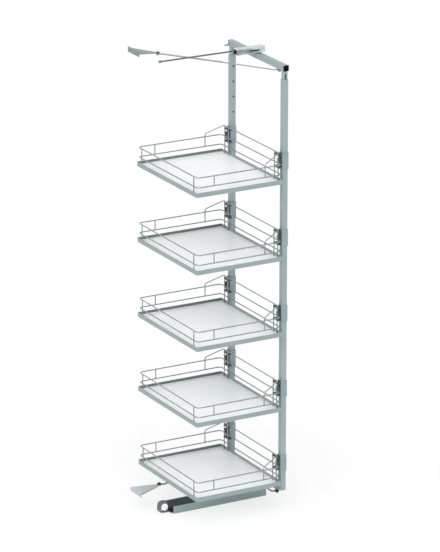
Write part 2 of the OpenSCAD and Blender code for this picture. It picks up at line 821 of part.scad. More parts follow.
// The lower link turns on top of its bracket, the upper link turns under its own
module wall_bracket_bottom() {
    color([0.76, 0.80, 0.79]) translate([wall_pivot_x, wall_pivot_y, bottom_link_z - arm_to_link])
        wall_bracket(bottom_arm, bottom_lean, bottom_flange_h, bottom_flange_h - bracket_t / 2);
}

module wall_bracket_top() {
    color([0.66, 0.70, 0.70]) translate([wall_pivot_x, wall_pivot_y, top_arm_z + arm_to_link])
        wall_bracket(top_arm, top_lean, top_flange_h, top_flange_h - 6);
}

// Pivot pin through a link's eye and a bracket's arm, with a flat head under low_z and a knob over high_z
module bracket_pin(low_z, high_z) {
    head_t = 3;
    knob_t = 4;
    translate([wall_pivot_x, wall_pivot_y, low_z - head_t]) {
        cylinder(d = pin_d, h = high_z - low_z + head_t + knob_t);
        cylinder(d = pin_d + 4, h = head_t);
    }
    translate([wall_pivot_x, wall_pivot_y, high_z]) cylinder(d1 = pin_d + 6, d2 = pin_d + 3, h = knob_t);
}

module bracket_pins() {
    far_side = arm_to_link + bracket_t / 2;
    near_side = eye_t / 2 + slide_clear;
    color([0.16, 0.16, 0.16]) {
        bracket_pin(bottom_link_z - far_side, bottom_link_z + near_side);
        bracket_pin(top_arm_z - near_side, top_arm_z + far_side);
    }
}

// ---------------------------------------------------------------- trays

function tray_z(k) = tray_floor_gap + (k - 1) * tray_pitch;

module tray_panel(k) {
    color([0.96, 0.97, 0.97]) translate([0, tray_mid_y, tray_z(k) + panel_lift])
        linear_extrude(height = panel_t) round_rect(tray_w - 2 * rim_t, tray_d - 2 * rim_t, rim_r - rim_t);
}

// Rim band with a folded lip under the panel
module tray_rim(k) {
    lip = 14;
    color([0.60, 0.67, 0.67]) translate([0, tray_mid_y, tray_z(k)]) {
        linear_extrude(height = rim_h) difference() {
            round_rect(tray_w, tray_d, rim_r);
            round_rect(tray_w - 2 * rim_t, tray_d - 2 * rim_t, rim_r - rim_t);
        }
        linear_extrude(height = panel_lift) difference() {
            round_rect(tray_w - rim_t, tray_d - rim_t, rim_r - rim_t / 2);
            round_rect(tray_w - 2 * lip, tray_d - 2 * lip, 2);
        }
    }
}

// Closed wire round the tray at one height
module wire_loop(z) {
    x = wire_x;
    wire([[0, wire_front_y, z], [x, wire_front_y, z], [x, wire_back_y, z], [-x, wire_back_y, z],
        [-x, wire_front_y, z], [0, wire_front_y, z]], wire_bend, wire_r);
}

module tray_railing(k) {
    x = wire_x;
    top_x = wire_x - front_wire_in;
    drop_z = mid_wire_h + front_wire_drop_h;
    color([0.74, 0.77, 0.77]) translate([0, 0, tray_z(k)]) {
        wire_loop(low_wire_h);
        wire_loop(mid_wire_h);
        // raised front wire: its ends slope out and back to the sides, then turn down as side posts
        wire([[-x, side_post_front_y, low_wire_h], [-x, side_post_front_y, drop_z],
            [-top_x, wire_front_y, top_wire_h], [top_x, wire_front_y, top_wire_h],
            [x, side_post_front_y, drop_z], [x, side_post_front_y, low_wire_h]], wire_bend * 0.6, post_r);
        for (s = [-1, 1]) {
            for (px = [end_post_x, inner_post_x])
                bar([s * px, wire_front_y, panel_top], [s * px, wire_front_y, top_wire_h], post_r);
            bar([s * end_post_x, wire_back_y, panel_top], [s * end_post_x, wire_back_y, mid_wire_h], post_r);
            bar([s * x, side_post_back_y, low_wire_h], [s * x, side_post_back_y, mid_wire_h], post_r);
        }
    }
}

// Folded sheet sleeves that clamp on the uprights
module tray_clamps(k) {
    outer = tube + 2 * clamp_t;
    color([0.63, 0.70, 0.74]) for (s = [-1, 1])
        translate([s * upright_x, axis_y, tray_z(k) + clamp_lift]) difference() {
            linear_extrude(height = clamp_h) difference() {
                round_rect(outer, outer, tube_r + clamp_t);
                round_rect(tube, tube, tube_r);
            }
            // the sleeve is open at the door side, between its two folded edges
            translate([-tube / 4, -outer / 2 - eps, -eps]) cube([tube / 2, 2 * clamp_t, clamp_h + 2 * eps]);
        }
}

// Black hooks on the clamps: a strip, a block in its middle and an arm round the posts at each end
module tray_hooks(k) {
    back = frame_back_y + clamp_t;
    low = clamp_lift + 6;
    high = top_wire_h - 6;
    strip_t = 4;
    arm_h = 7;
    block_down = 11;
    block_up = 20;
    half_w = hook_w / 2;
    color([0.10, 0.11, 0.11]) translate([0, 0, tray_z(k)]) for (s = [0, 1]) mirror([s, 0, 0]) difference() {
        union() {
            span([upright_x - half_w, back, low], [upright_x + half_w, back + strip_t, high]);
            span([upright_x - half_w + 2, back, mid_wire_h - block_down],
                [upright_x + half_w - 2, wire_front_y - wire_r - 1, mid_wire_h + block_up]);
            for (h = [low, high - arm_h - 3])
                span([inner_post_x - post_d, back, h], [end_post_x + post_d, wire_front_y, h + arm_h]);
        }
        for (px = [end_post_x, inner_post_x]) translate([px, wire_front_y, 0])
            cylinder(r = post_r, h = 2 * top_wire_h, $fn = 24);
    }
}

// ---------------------------------------------------------------- the assembly

runner_channel();
runner_end_block();
catch_roller();
roller_pin();
wall_bracket_bottom();
wall_bracket_top();
bracket_pins();
guide_rail();
guide_bushes();
ball_cages();
bearing_balls();
inner_slide();
pivot_console();
console_bush();
guide_rod();
guide_rod_bumper();
swivel_block();
bottom_beam();
upright(-1);  // upright_left
upright(1);  // upright_right
extension(-1);  // extension_left
extension(1);  // extension_right
top_beam();
beam_caps();
height_screws();
pivot_studs();
corner_brackets();
beam_peg();
link_bushes();
top_link_tube();
top_link_rod();
bottom_link_rod();
for (k = [1 : tray_count]) {
    tray_panel(k);
    tray_rim(k);
    tray_railing(k);
    tray_clamps(k);
    tray_hooks(k);
}
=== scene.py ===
"""Dresses a pull-and-swing larder unit: its finishes, its fastenings and trim, and the studio round it."""

import logging
import math
from dataclasses import dataclass, field
from enum import Enum
from typing import Any, Iterable, Sequence

import bmesh
import bpy
from mathutils import Matrix, Vector


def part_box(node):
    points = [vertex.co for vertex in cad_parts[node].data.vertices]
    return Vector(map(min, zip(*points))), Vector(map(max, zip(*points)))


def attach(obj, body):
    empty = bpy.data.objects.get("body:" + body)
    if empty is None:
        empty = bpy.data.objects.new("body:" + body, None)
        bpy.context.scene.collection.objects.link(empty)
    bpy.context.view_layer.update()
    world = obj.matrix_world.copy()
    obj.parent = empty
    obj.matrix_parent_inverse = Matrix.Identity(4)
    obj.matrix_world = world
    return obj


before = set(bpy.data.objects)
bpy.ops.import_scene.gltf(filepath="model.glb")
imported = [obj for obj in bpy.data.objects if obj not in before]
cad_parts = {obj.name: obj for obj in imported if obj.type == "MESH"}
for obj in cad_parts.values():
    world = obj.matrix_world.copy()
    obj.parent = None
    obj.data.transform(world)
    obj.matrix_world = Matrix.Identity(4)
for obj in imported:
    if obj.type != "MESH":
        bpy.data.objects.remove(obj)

LOG = logging.getLogger("larder")
MM = 0.001
# Corners nearer than this, in millimetres, become one
MERGE = 0.0005
# Edges that turn by more than this stay sharp
SHARP_DEG = 38.0
# How far a fastening sinks into its face, in millimetres
SEAT = 0.05
NODES: dict[str, bpy.types.Object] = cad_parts
TRAYS = sorted(int(name.rsplit("_", 1)[1]) for name in NODES if name.startswith("tray_panel_"))
Point = Sequence[float]
Socket = bpy.types.NodeSocket
Tree = bpy.types.NodeTree


# ------------------------------------------------------------------ colour and node helpers


def srgb(code: str) -> tuple[float, float, float, float]:
    """Turns an sRGB hex colour into the linear colour that a shader takes.

    Args:
        code: six hex digits, such as "9FB1B1".

    Returns:
        Linear red, green, blue and an alpha of 1.
    """
    parts = [int(code[i : i + 2], 16) / 255 for i in (0, 2, 4)]
    linear = [c / 12.92 if c <= 0.04045 else ((c + 0.055) / 1.055) ** 2.4 for c in parts]
    return (*linear, 1.0)


def per_metre(size_mm: float) -> float:
    """Texture scale, in cells to the metre, of a pattern whose cells are size_mm wide."""
    return 1.0 / (size_mm * MM)


def add_node(
    tree: Tree,
    kind: str,
    values: dict[Any, Any] | None = None,
    links: dict[Any, Socket] | None = None,
    **settings: Any,
) -> bpy.types.Node:
    """Adds one node with its settings, socket values and incoming links.

    Args:
        tree: the node tree that the node goes into.
        kind: Blender's name of the node type.
        values: input socket to the value that it is set to.
        links: input socket to the output socket that feeds it.
        **settings: properties of the node itself.

    Returns:
        The new node.
    """
    node = tree.nodes.new(kind)
    for name, value in settings.items():
        setattr(node, name, value)
    for socket, value in (values or {}).items():
        node.inputs[socket].default_value = value
    for socket, source in (links or {}).items():
        tree.links.new(source, node.inputs[socket])
    return node


def add_ramp(tree: Tree, source: Socket, stops: Iterable[tuple[float, str]]) -> Socket:
    """Maps a grey value to colours.

    Args:
        tree: the node tree.
        source: the socket with the grey value.
        stops: positions from 0 to 1, each with its sRGB hex colour.

    Returns:
        The colour socket.
    """
    ramp = add_node(tree, "ShaderNodeValToRGB", links={"Fac": source})
    elements = ramp.color_ramp.elements
    for index, (position, code) in enumerate(stops):
        element = elements[index] if index < 2 else elements.new(position)
        element.position = position
        element.color = srgb(code)
    return ramp.outputs["Color"]


# ------------------------------------------------------------------ finishes


@dataclass(frozen=True)
class Finish:
    """A surface finish. Each kind adds its own pattern to the shared shader."""

    name: str
    colour: str
    shade: str
    roughness: float = 0.4
    metallic: float = 0.0
    specular: float = 0.5

    def build(self) -> bpy.types.Material:
        """Makes the material, or finds the one made before.

        Returns:
            The material.
        """
        made = bpy.data.materials.get(self.name)
        if made:
            return made
        material = bpy.data.materials.new(self.name)
        material.use_nodes = True
        tree = material.node_tree
        tree.nodes.clear()
        shader = add_node(
            tree,
            "ShaderNodeBsdfPrincipled",
            {
                "Metallic": self.metallic,
                "Roughness": self.roughness,
                "Base Color": srgb(self.colour),
                "Specular IOR Level": self.specular,
            },
        )
        add_node(tree, "ShaderNodeOutputMaterial", links={"Surface": shader.outputs["BSDF"]})
        place = add_node(tree, "ShaderNodeTexCoord").outputs["Object"]
        self.pattern(tree, shader, place)
        return material

    def pattern(self, tree: Tree, shader: bpy.types.Node, place: Socket) -> None:
        """Adds colour, roughness and bump; each finish has its own.

        Args:
            tree: the material's node tree.
            shader: its surface shader.
            place: object coordinates, in metres.
        """
        raise NotImplementedError

    def cloud(self, tree: Tree, place: Socket, size_mm: float, detail: float = 2.0) -> Socket:
        """Adds soft noise.

        Args:
            tree: the material's node tree.
            place: the coordinates that it lies in, in metres.
            size_mm: how wide its patches are.
            detail: how many finer layers it has.

        Returns:
            The socket with the noise.
        """
        noise = add_node(
            tree,
            "ShaderNodeTexNoise",
            {"Scale": per_metre(size_mm), "Detail": detail, "Roughness": 0.5},
            {"Vector": place},
        )
        return noise.outputs["Fac"]

    def stretched(self, tree: Tree, place: Socket, stretch: tuple[float, float, float]) -> Socket:
        """Object coordinates scaled along each axis, for grain that runs one way."""
        mapping = add_node(tree, "ShaderNodeMapping", {"Scale": stretch}, {"Vector": place})
        return mapping.outputs["Vector"]

    def tint(self, tree: Tree, shader: bpy.types.Node, source: Socket, low: float, high: float) -> None:
        """Blends the shade into the colour where source goes from low to high."""
        blend = add_ramp(tree, source, [(low, self.shade), (high, self.colour)])
        tree.links.new(blend, shader.inputs["Base Color"])

    def bump(
        self, tree: Tree, shader: bpy.types.Node, height: Socket, depth_mm: float, strength: float = 0.5
    ) -> None:
        """Raises the surface by depth_mm where height is 1."""
        node = add_node(
            tree, "ShaderNodeBump", {"Strength": strength, "Distance": depth_mm * MM}, {"Height": height}
        )
        tree.links.new(node.outputs["Normal"], shader.inputs["Normal"])

    def vary_roughness(self, tree: Tree, shader: bpy.types.Node, source: Socket, spread: float) -> None:
        """Lets the gloss wander by spread either side of the finish's roughness."""
        node = add_node(
            tree,
            "ShaderNodeMapRange",
            {"To Min": self.roughness - spread, "To Max": self.roughness + spread},
            {"Value": source},
        )
        tree.links.new(node.outputs["Result"], shader.inputs["Roughness"])


@dataclass(frozen=True)
class PowderCoat(Finish):
    """Polyester powder coat on steel, sprayed and baked: fine orange peel and an even satin."""

    drift_mm: float = 90.0
    peel_mm: float = 1.6
    peel_depth_mm: float = 0.03
    gloss_spread: float = 0.05

    def pattern(self, tree: Tree, shader: bpy.types.Node, place: Socket) -> None:
        """Orange peel, drawn coarser than the real 0.4 mm so that it shows, over slow drifts of tone.

        Args:
            tree: the material's node tree.
            shader: its surface shader.
            place: object coordinates, in metres.
        """
        drift = self.cloud(tree, place, self.drift_mm)
        self.tint(tree, shader, drift, low=0.35, high=0.65)
        peel = self.cloud(tree, place, self.peel_mm, detail=3.0)
        self.vary_roughness(tree, shader, peel, self.gloss_spread)
        self.bump(tree, shader, peel, self.peel_depth_mm)


@dataclass(frozen=True)
class PlatedWire(Finish):
    """Chrome plate on drawn wire and bright rail: a hard gloss with faint drawing lines and a haze."""

    haze_mm: float = 25.0
    line_mm: float = 0.8
    line_depth_mm: float = 0.01
    gloss_spread: float = 0.06

    def pattern(self, tree: Tree, shader: bpy.types.Node, place: Socket) -> None:
        """Haze changes the gloss slowly, drawing lines break the highlight.

        Args:
            tree: the material's node tree.
            shader: its surface shader.
            place: object coordinates, in metres.
        """
        haze = self.cloud(tree, place, self.haze_mm)
        self.tint(tree, shader, haze, low=0.3, high=0.7)
        self.vary_roughness(tree, shader, haze, self.gloss_spread)
        lines = self.cloud(tree, place, self.line_mm)
        self.bump(tree, shader, lines, self.line_depth_mm, strength=0.3)


@dataclass(frozen=True)
class ZincPlate(Finish):
    """Blue-white zinc plate on pressed steel: a soft spangle and a dull metallic sheen."""

    spangle_mm: float = 3.0
    frost_mm: float = 0.9
    frost_depth_mm: float = 0.02
    gloss_spread: float = 0.07

    def pattern(self, tree: Tree, shader: bpy.types.Node, place: Socket) -> None:
        """Spangle cells differ in tone and gloss, under a fine frost.

        Args:
            tree: the material's node tree.
            shader: its surface shader.
            place: object coordinates, in metres.
        """
        cells = add_node(
            tree, "ShaderNodeTexVoronoi", {"Scale": per_metre(self.spangle_mm)}, {"Vector": place}
        ).outputs["Distance"]
        self.tint(tree, shader, cells, low=0.8, high=0.1)
        self.vary_roughness(tree, shader, cells, self.gloss_spread)
        frost = self.cloud(tree, place, self.frost_mm, detail=3.0)
        self.bump(tree, shader, frost, self.frost_depth_mm)


@dataclass(frozen=True)
class DrawnSteel(Finish):
    """Drawn or ground steel, lightly oiled: fine lines along the bar and a soft highlight."""

    along: tuple[float, float, float] = (1.0, 0.04, 1.0)
    line_mm: float = 0.5
    line_depth_mm: float = 0.01
    gloss_spread: float = 0.08

    def pattern(self, tree: Tree, shader: bpy.types.Node, place: Socket) -> None:
        """Fine lines run along the bar.

        Args:
            tree: the material's node tree.
            shader: its surface shader.
            place: object coordinates, in metres.
        """
        lines = self.cloud(tree, self.stretched(tree, place, self.along), self.line_mm, detail=3.0)
        self.tint(tree, shader, lines, low=0.3, high=0.7)
        self.vary_roughness(tree, shader, lines, self.gloss_spread)
        self.bump(tree, shader, lines, self.line_depth_mm, strength=0.4)


@dataclass(frozen=True)
class Moulded(Finish):
    """Injection-moulded plastic with a spark-eroded texture: matte, with a fine even grain."""

    scuff_mm: float = 14.0
    grain_mm: float = 0.7
    grain_depth_mm: float = 0.03
    gloss_spread: float = 0.06

    def pattern(self, tree: Tree, shader: bpy.types.Node, place: Socket) -> None:
        """Grain dulls the highlight, scuffs change the colour a little.

        Args:
            tree: the material's node tree.
            shader: its surface shader.
            place: object coordinates, in metres.
        """
        scuff = self.cloud(tree, place, self.scuff_mm, detail=4.0)
        self.tint(tree, shader, scuff, low=0.75, high=0.4)
        grain = self.cloud(tree, place, self.grain_mm)
        self.vary_roughness(tree, shader, grain, self.gloss_spread)
        self.bump(tree, shader, grain, self.grain_depth_mm)


@dataclass(frozen=True)
class Melamine(Finish):
    """Melamine-faced board: hard white paper laminate with a pearl texture and a soft gloss."""

    drift_mm: float = 120.0
    pearl_mm: float = 1.2
    pearl_depth_mm: float = 0.02
    gloss_spread: float = 0.04

    def pattern(self, tree: Tree, shader: bpy.types.Node, place: Socket) -> None:
        """Pearl texture in an almost even white.

        Args:
            tree: the material's node tree.
            shader: its surface shader.
            place: object coordinates, in metres.
        """
        self.tint(tree, shader, self.cloud(tree, place, self.drift_mm), low=0.3, high=0.7)
        pearl = self.cloud(tree, place, self.pearl_mm)
        self.vary_roughness(tree, shader, pearl, self.gloss_spread)
        self.bump(tree, shader, pearl, self.pearl_depth_mm)


class Palette(Enum):
    """The finishes of the unit: each piece takes one of them."""

    # Satin paint of one family: grey-green tubes and rims, bluer sleeves, a darker console
    SILVER = PowderCoat("silver_powder_coat", "95A6A6", "8FA1A1", 0.42, 0.1)
    RIM = PowderCoat("rim_powder_coat", "93A0A1", "8C9B9C", 0.40, 0.1)
    CLAMP = PowderCoat("clamp_powder_coat", "91A0A7", "87979F", 0.42, 0.15)
    CONSOLE = PowderCoat("console_powder_coat", "7C878B", "737E82", 0.45, 0.1)
    # Bright plate: mid-grey wires with sharp glints, and a rail that is almost white
    WIRE = PlatedWire("chromed_wire", "9CA3A3", "8B9293", 0.26, 0.75)
    GUIDE = PlatedWire("chromed_guide_rail", "D1D9DA", "BCC6C7", 0.18, 0.9)
    # Dull plate: pale sheet below, the same zinc darkened with painted shade for the top bracket, grey
    # links
    ZINC = ZincPlate("zinc_plated_bracket", "CBD4D4", "B8C1C1", 0.40, 0.3)
    ZINC_PAINTED_SHADE = ZincPlate("zinc_plated_bracket_painted_shade", "96A3A1", "828F8D", 0.40, 0.3)
    LINK = ZincPlate("zinc_plated_link", "9CA3A2", "8B9392", 0.36, 0.45)
    # Drawn or turned bar: dark oiled rods, bright pins and bolts, a slide that is almost black
    ROD = DrawnSteel("drawn_steel_rod", "6C7275", "5B6164", 0.32, 0.7)
    PIVOT = DrawnSteel("ground_steel_pivot", "A9AFB2", "949A9E", 0.28, 0.8, along=(1.0, 1.0, 0.04))
    SLIDE = DrawnSteel("black_coated_slide", "181C1F", "101315", 0.45, 0.1, 0.3)
    # Mouldings without gloss: black caps, grey blocks, anthracite hooks, white nylon, a brown bumper
    BLACK = Moulded("black_moulded_plastic", "060708", "0B0C0D", 0.6, 0.0, 0.06)
    GREY = Moulded("grey_moulded_plastic", "4E5755", "5B6562", 0.5)
    HOOK = Moulded("anthracite_moulded_plastic", "4F585A", "454E50", 0.5, 0.0, 0.3)
    # Dark grey strips on the rims' inner walls: painted shade, not a real seal
    SHADE_STRIP = Moulded("dark_strip_painted_shade", "5B6567", "6A7476", 0.6)
    NYLON = Moulded("white_nylon", "F1F4F3", "E6EAE9", 0.34)
    RUBBER = Moulded("brown_grey_rubber", "6F655F", "7C716B", 0.7)
    # Board: a clean, soft white
    PANEL = Melamine("white_melamine", "F3F6F6", "EEF2F2", 0.4)

    def material(self) -> bpy.types.Material:
        """The material of this finish."""
        return self.value.build()

    @property
    def slot(self) -> str:
        """The record's material slot that this finish stands for."""
        return {
            Palette.SILVER: "silver_paint",
            Palette.RIM: "silver_paint",
            Palette.CLAMP: "clamp_paint",
            Palette.CONSOLE: "console_paint",
            Palette.WIRE: "wire_chrome",
            Palette.GUIDE: "guide_chrome",
            Palette.ZINC: "bracket_zinc",
            Palette.ZINC_PAINTED_SHADE: "bracket_zinc",
            Palette.LINK: "link_steel",
            Palette.ROD: "rod_steel",
            Palette.PIVOT: "pivot_steel",
            Palette.SLIDE: "slide_black",
            Palette.BLACK: "black_plastic",
            Palette.GREY: "grey_plastic",
            Palette.HOOK: "black_plastic",
            Palette.SHADE_STRIP: "grey_plastic",
            Palette.NYLON: "white_nylon",
            Palette.RUBBER: "bumper_rubber",
            Palette.PANEL: "panel_white",
        }[self]


# ------------------------------------------------------------------ shapes


class Axis(Enum):
    """The way that a turned shape's own +Z points on the unit."""

    UP = (0.0, 0.0, 1.0)
    DOWN = (0.0, 0.0, -1.0)
    LEFT = (-1.0, 0.0, 0.0)
    RIGHT = (1.0, 0.0, 0.0)
    FRONT = (0.0, -1.0, 0.0)
    BACK = (0.0, 1.0, 0.0)


def extent(node: str) -> tuple[Vector, Vector]:
    """Lowest and highest corners of a CAD node, in millimetres."""
    low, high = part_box(node)
    return Vector(low) / MM, Vector(high) / MM


def facing(at: Point, way: Axis | Vector) -> Matrix:
    """Place and turn of a shape.

    Args:
        at: the point that its origin goes to.
        way: where its own +Z points.

    Returns:
        The matrix.
    """
    aim = Vector(way.value) if isinstance(way, Axis) else way
    turn = Vector((0, 0, 1)).rotation_difference(aim)
    return Matrix.Translation(Vector(at)) @ turn.to_matrix().to_4x4()


class Piece:
    """One visible piece in the making. Its solids are added in millimetres, in the unit's own frame."""

    def __init__(self, name: str, body: str, finish: Palette) -> None:
        """Starts an empty piece.

        Args:
            name: the piece's name.
            body: the CAD body that it rides on.
            finish: its surface.
        """
        self.name = name
        self.body = body
        self.finish = finish
        self.mesh = bpy.data.meshes.new(name)
        self.shape = bmesh.new()

    def absorb(self, solid: bmesh.types.BMesh, place: Matrix) -> None:
        """Cleans a solid, moves it to its place and takes it into the piece.

        Args:
            solid: the solid, which is freed.
            place: its place and turn on the unit.
        """
        bmesh.ops.remove_doubles(solid, verts=solid.verts, dist=MERGE)
        bmesh.ops.recalc_face_normals(solid, faces=solid.faces)
        bmesh.ops.transform(solid, matrix=place, verts=solid.verts)
        carrier = bpy.data.meshes.new("carrier")
        solid.to_mesh(carrier)
        solid.free()
        self.shape.from_mesh(carrier)
        bpy.data.meshes.remove(carrier)

    def block(self, low: Point, high: Point, edge: float) -> None:
        """Adds a box with rounded edges.

        Args:
            low: its lowest corner.
            high: its highest corner.
            edge: how much its edges are rounded.
        """
        size, middle = Vector(high) - Vector(low), (Vector(high) + Vector(low)) / 2
        solid = bmesh.new()
        bmesh.ops.create_cube(solid, size=1.0)
        bmesh.ops.scale(solid, verts=solid.verts, vec=size)
        bmesh.ops.bevel(
            solid, geom=solid.edges, offset=edge, affect="EDGES", segments=2, profile=0.5, material=-1
        )
        self.absorb(solid, Matrix.Translation(middle))

    def turned(self, outline: Sequence[tuple[float, float]], place: Matrix, steps: int = 24) -> None:
        """Spins an outline of radius and height round its own Z.

        Args:
            outline: points from the foot to the top, each a radius and a height.
            place: place and turn on the unit.
            steps: faces round the axis.
        """
        solid = bmesh.new()
        points = [solid.verts.new((radius, 0.0, height)) for radius, height in outline]
        edges = [solid.edges.new(pair) for pair in zip(points, points[1:])]
        bmesh.ops.spin(
            solid,
            geom=points + edges,
            cent=(0, 0, 0),
            axis=(0, 0, 1),
            angle=2 * math.pi,
            steps=steps,
            use_merge=True,
        )
        self.absorb(solid, place)

    def nugget(self, at: Point, radius: float) -> None:
        """Adds a small weld nugget of a few dozen faces.

        Args:
            at: its middle.
            radius: its radius.
        """
        solid = bmesh.new()
        bmesh.ops.create_icosphere(solid, subdivisions=1, radius=radius)
        self.absorb(solid, Matrix.Translation(Vector(at)))

    def weld_run(self, start: Point, end: Point, radius: float) -> None:
        """Adds a weld seam: overlapping nuggets, as a welder lays them.

        Args:
            start: middle of the first nugget.
            end: middle of the last one.
            radius: radius of each, a little less than the step from one to the next.
        """
        run = Vector(end) - Vector(start)
        step = radius * 1.3
        count = max(2, round(run.length / step))
        for index in range(count + 1):
            self.nugget(Vector(start) + run * index / count, radius)

    def hexagon(self, across: float, height: float, place: Matrix) -> None:
        """Adds a nut or a bolt head with rounded corners.

        Args:
            across: width across the flats.
            height: how tall it is.
            place: place and turn on the unit.
        """
        radius, edge = across / math.sqrt(3), 0.5
        solid = bmesh.new()
        bmesh.ops.create_cone(
            solid, cap_ends=True, cap_tris=False, segments=6, radius1=radius, radius2=radius, depth=height
        )
        bmesh.ops.bevel(
            solid, geom=solid.edges, offset=edge, affect="EDGES", segments=2, profile=0.5, material=-1
        )
        self.absorb(solid, place @ Matrix.Translation((0, 0, height / 2)))

    def socket_screw(self, radius: float, height: float, place: Matrix) -> None:
        """Adds a round screw head with a six-sided socket in its top.

        Args:
            radius: the head's radius.
            height: the head's height.
            place: place and turn on the unit, with the head's foot at its origin.
        """
        crown_share, mouth_share, chamfer_share, depth_share = 0.86, 0.5, 0.25, 0.55
        solid = bmesh.new()
        crown = bmesh.ops.create_circle(solid, segments=24, radius=radius * crown_share)["verts"]
        mouth = bmesh.ops.create_circle(solid, segments=6, radius=radius * mouth_share)["verts"]
        bmesh.ops.translate(solid, verts=solid.verts, vec=(0, 0, height))
        rim, hexed = self.loop_of(crown), self.loop_of(mouth)
        bmesh.ops.bridge_loops(solid, edges=rim + hexed)
        wall = self.pull(solid, hexed, Vector((0, 0, -height * depth_share)), 1.0)
        bmesh.ops.holes_fill(solid, edges=wall, sides=0)
        wall = self.pull(solid, rim, Vector((0, 0, -height * chamfer_share)), 1 / crown_share)
        wall = self.pull(solid, wall, Vector((0, 0, -height * (1 - chamfer_share))), 1.0)
        bmesh.ops.holes_fill(solid, edges=wall, sides=0)
        self.absorb(solid, place)

    @staticmethod
    def loop_of(verts: Sequence[bmesh.types.BMVert]) -> list[bmesh.types.BMEdge]:
        """Finds the edges that join vertices to each other.

        Args:
            verts: the vertices.

        Returns:
            The edges, each once.
        """
        chosen = set(verts)
        linked = (edge for vert in verts for edge in vert.link_edges if edge.other_vert(vert) in chosen)
        return list(set(linked))

    @staticmethod
    def pull(
        solid: bmesh.types.BMesh, loop: Sequence[bmesh.types.BMEdge], step: Vector, grow: float
    ) -> list[bmesh.types.BMEdge]:
        """Extrudes a loop of edges by a step and widens it.

        Args:
            solid: the solid.
            loop: the edges to extrude.
            step: how far the new loop moves.
            grow: factor of its width.

        Returns:
            The new loop's edges.
        """
        made = bmesh.ops.extrude_edge_only(solid, edges=loop)["geom"]
        verts = [item for item in made if isinstance(item, bmesh.types.BMVert)]
        bmesh.ops.scale(solid, verts=verts, vec=(grow, grow, 1.0))
        bmesh.ops.translate(solid, verts=verts, vec=step)
        return Piece.loop_of(verts)

    def finished(self) -> bpy.types.Object:
        """Turns the piece into an object in metres, dresses it and lets it ride on its body.

        Returns:
            The object.
        """
        bmesh.ops.scale(self.shape, verts=self.shape.verts, vec=(MM, MM, MM))
        self.shape.to_mesh(self.mesh)
        self.shape.free()
        self.mesh.shade_smooth()
        self.mesh.set_sharp_from_angle(angle=math.radians(SHARP_DEG))
        self.mesh.materials.append(self.finish.material())
        item = bpy.data.objects.new(self.name, self.mesh)
        bpy.context.scene.collection.objects.link(item)
        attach(item, self.body)
        LOG.info("%s on %s: %d faces", self.name, self.body, len(self.mesh.polygons))
        return item


# Outlines of small fastenings, as radius and height in millimetres
WASHER = ((0.0, 0.8), (6.6, 0.8), (7.0, 0.5), (7.0, 0.0), (0.0, 0.0))
BOLT_WASHER = ((0.0, 0.9), (4.9, 0.9), (5.2, 0.6), (5.2, 0.0), (0.0, 0.0))
HOLE_PLUG = ((0.0, 1.5), (3.3, 1.5), (3.9, 1.1), (3.9, 0.0), (0.0, 0.0))
RIVET = ((0.0, 1.8), (1.6, 1.6), (3.0, 0.9), (3.6, 0.0), (0.0, 0.0))
STOP_PEG = ((0.0, 2.4), (2.2, 2.4), (3.4, 1.4), (3.4, 0.0), (0.0, 0.0))
POST_FOOT = ((2.3, 5.0), (2.9, 4.8), (3.4, 3.0), (4.4, 1.0), (5.0, 0.6), (5.0, 0.0), (2.3, 0.0))
HUB_RING = ((7.6, 0.0), (7.6, 0.5), (8.0, 0.8), (9.8, 0.8), (10.2, 0.5), (10.2, 0.0), (7.6, 0.0))


# ------------------------------------------------------------------ sub-assemblies
# Sizes are in millimetres, and heights on a tray count from its rim's foot


@dataclass
class CarriedNodes:
    """The CAD nodes that keep their own shape, each with its finish."""

    finishes: dict[Palette, list[str]] = field(
        default_factory=lambda: {
            Palette.SILVER: [
                "runner_channel", "bottom_beam", "upright_left", "upright_right",
                "extension_left", "extension_right", "top_beam",
            ],
            Palette.CLAMP: ["corner_brackets"],
            Palette.CONSOLE: ["pivot_console"],
            Palette.GUIDE: ["guide_rail", "bearing_balls"],
            Palette.ZINC: ["wall_bracket_bottom", "ball_cages"],
            # The top bracket takes the same zinc darkened with painted shade, which stands in for the
            # shade on its side walls
            Palette.ZINC_PAINTED_SHADE: ["wall_bracket_top"],
            Palette.LINK: ["top_link_tube", "top_link_rod"],
            Palette.ROD: ["guide_rod", "bottom_link_rod"],
            Palette.PIVOT: ["roller_pin", "height_screws", "pivot_studs", "beam_peg"],
            Palette.SLIDE: ["inner_slide"],
            Palette.BLACK: [
                "bracket_pins", "guide_bushes", "console_bush", "swivel_block", "beam_caps", "link_bushes",
            ],
            Palette.GREY: ["runner_end_block"],
            Palette.NYLON: ["catch_roller"],
            Palette.RUBBER: ["guide_rod_bumper"],
        }
    )
    tray_finishes: dict[Palette, str] = field(
        default_factory=lambda: {
            Palette.PANEL: "tray_panel",
            Palette.RIM: "tray_rim",
            Palette.WIRE: "tray_railing",
            Palette.CLAMP: "tray_clamps",
            Palette.HOOK: "tray_hooks",
        }
    )

    def build(self) -> None:
        """Dresses the single nodes and the nodes of every tray."""
        for finish, nodes in self.finishes.items():
            for node in nodes:
                self.dress(node, finish)
        for finish, part in self.tray_finishes.items():
            for tray in TRAYS:
                self.dress(f"{part}_{tray}", finish)

    def dress(self, node: str, finish: Palette) -> None:
        """Gives a CAD node its finish.

        Args:
            node: the CAD node's name.
            finish: what its surface is.
        """
        carried = NODES[node]
        material = finish.material()
        if not carried.material_slots:
            carried.data.materials.append(material)
        for slot in carried.material_slots:
            slot.material = material
        LOG.info("%s: %s", node, material.name)


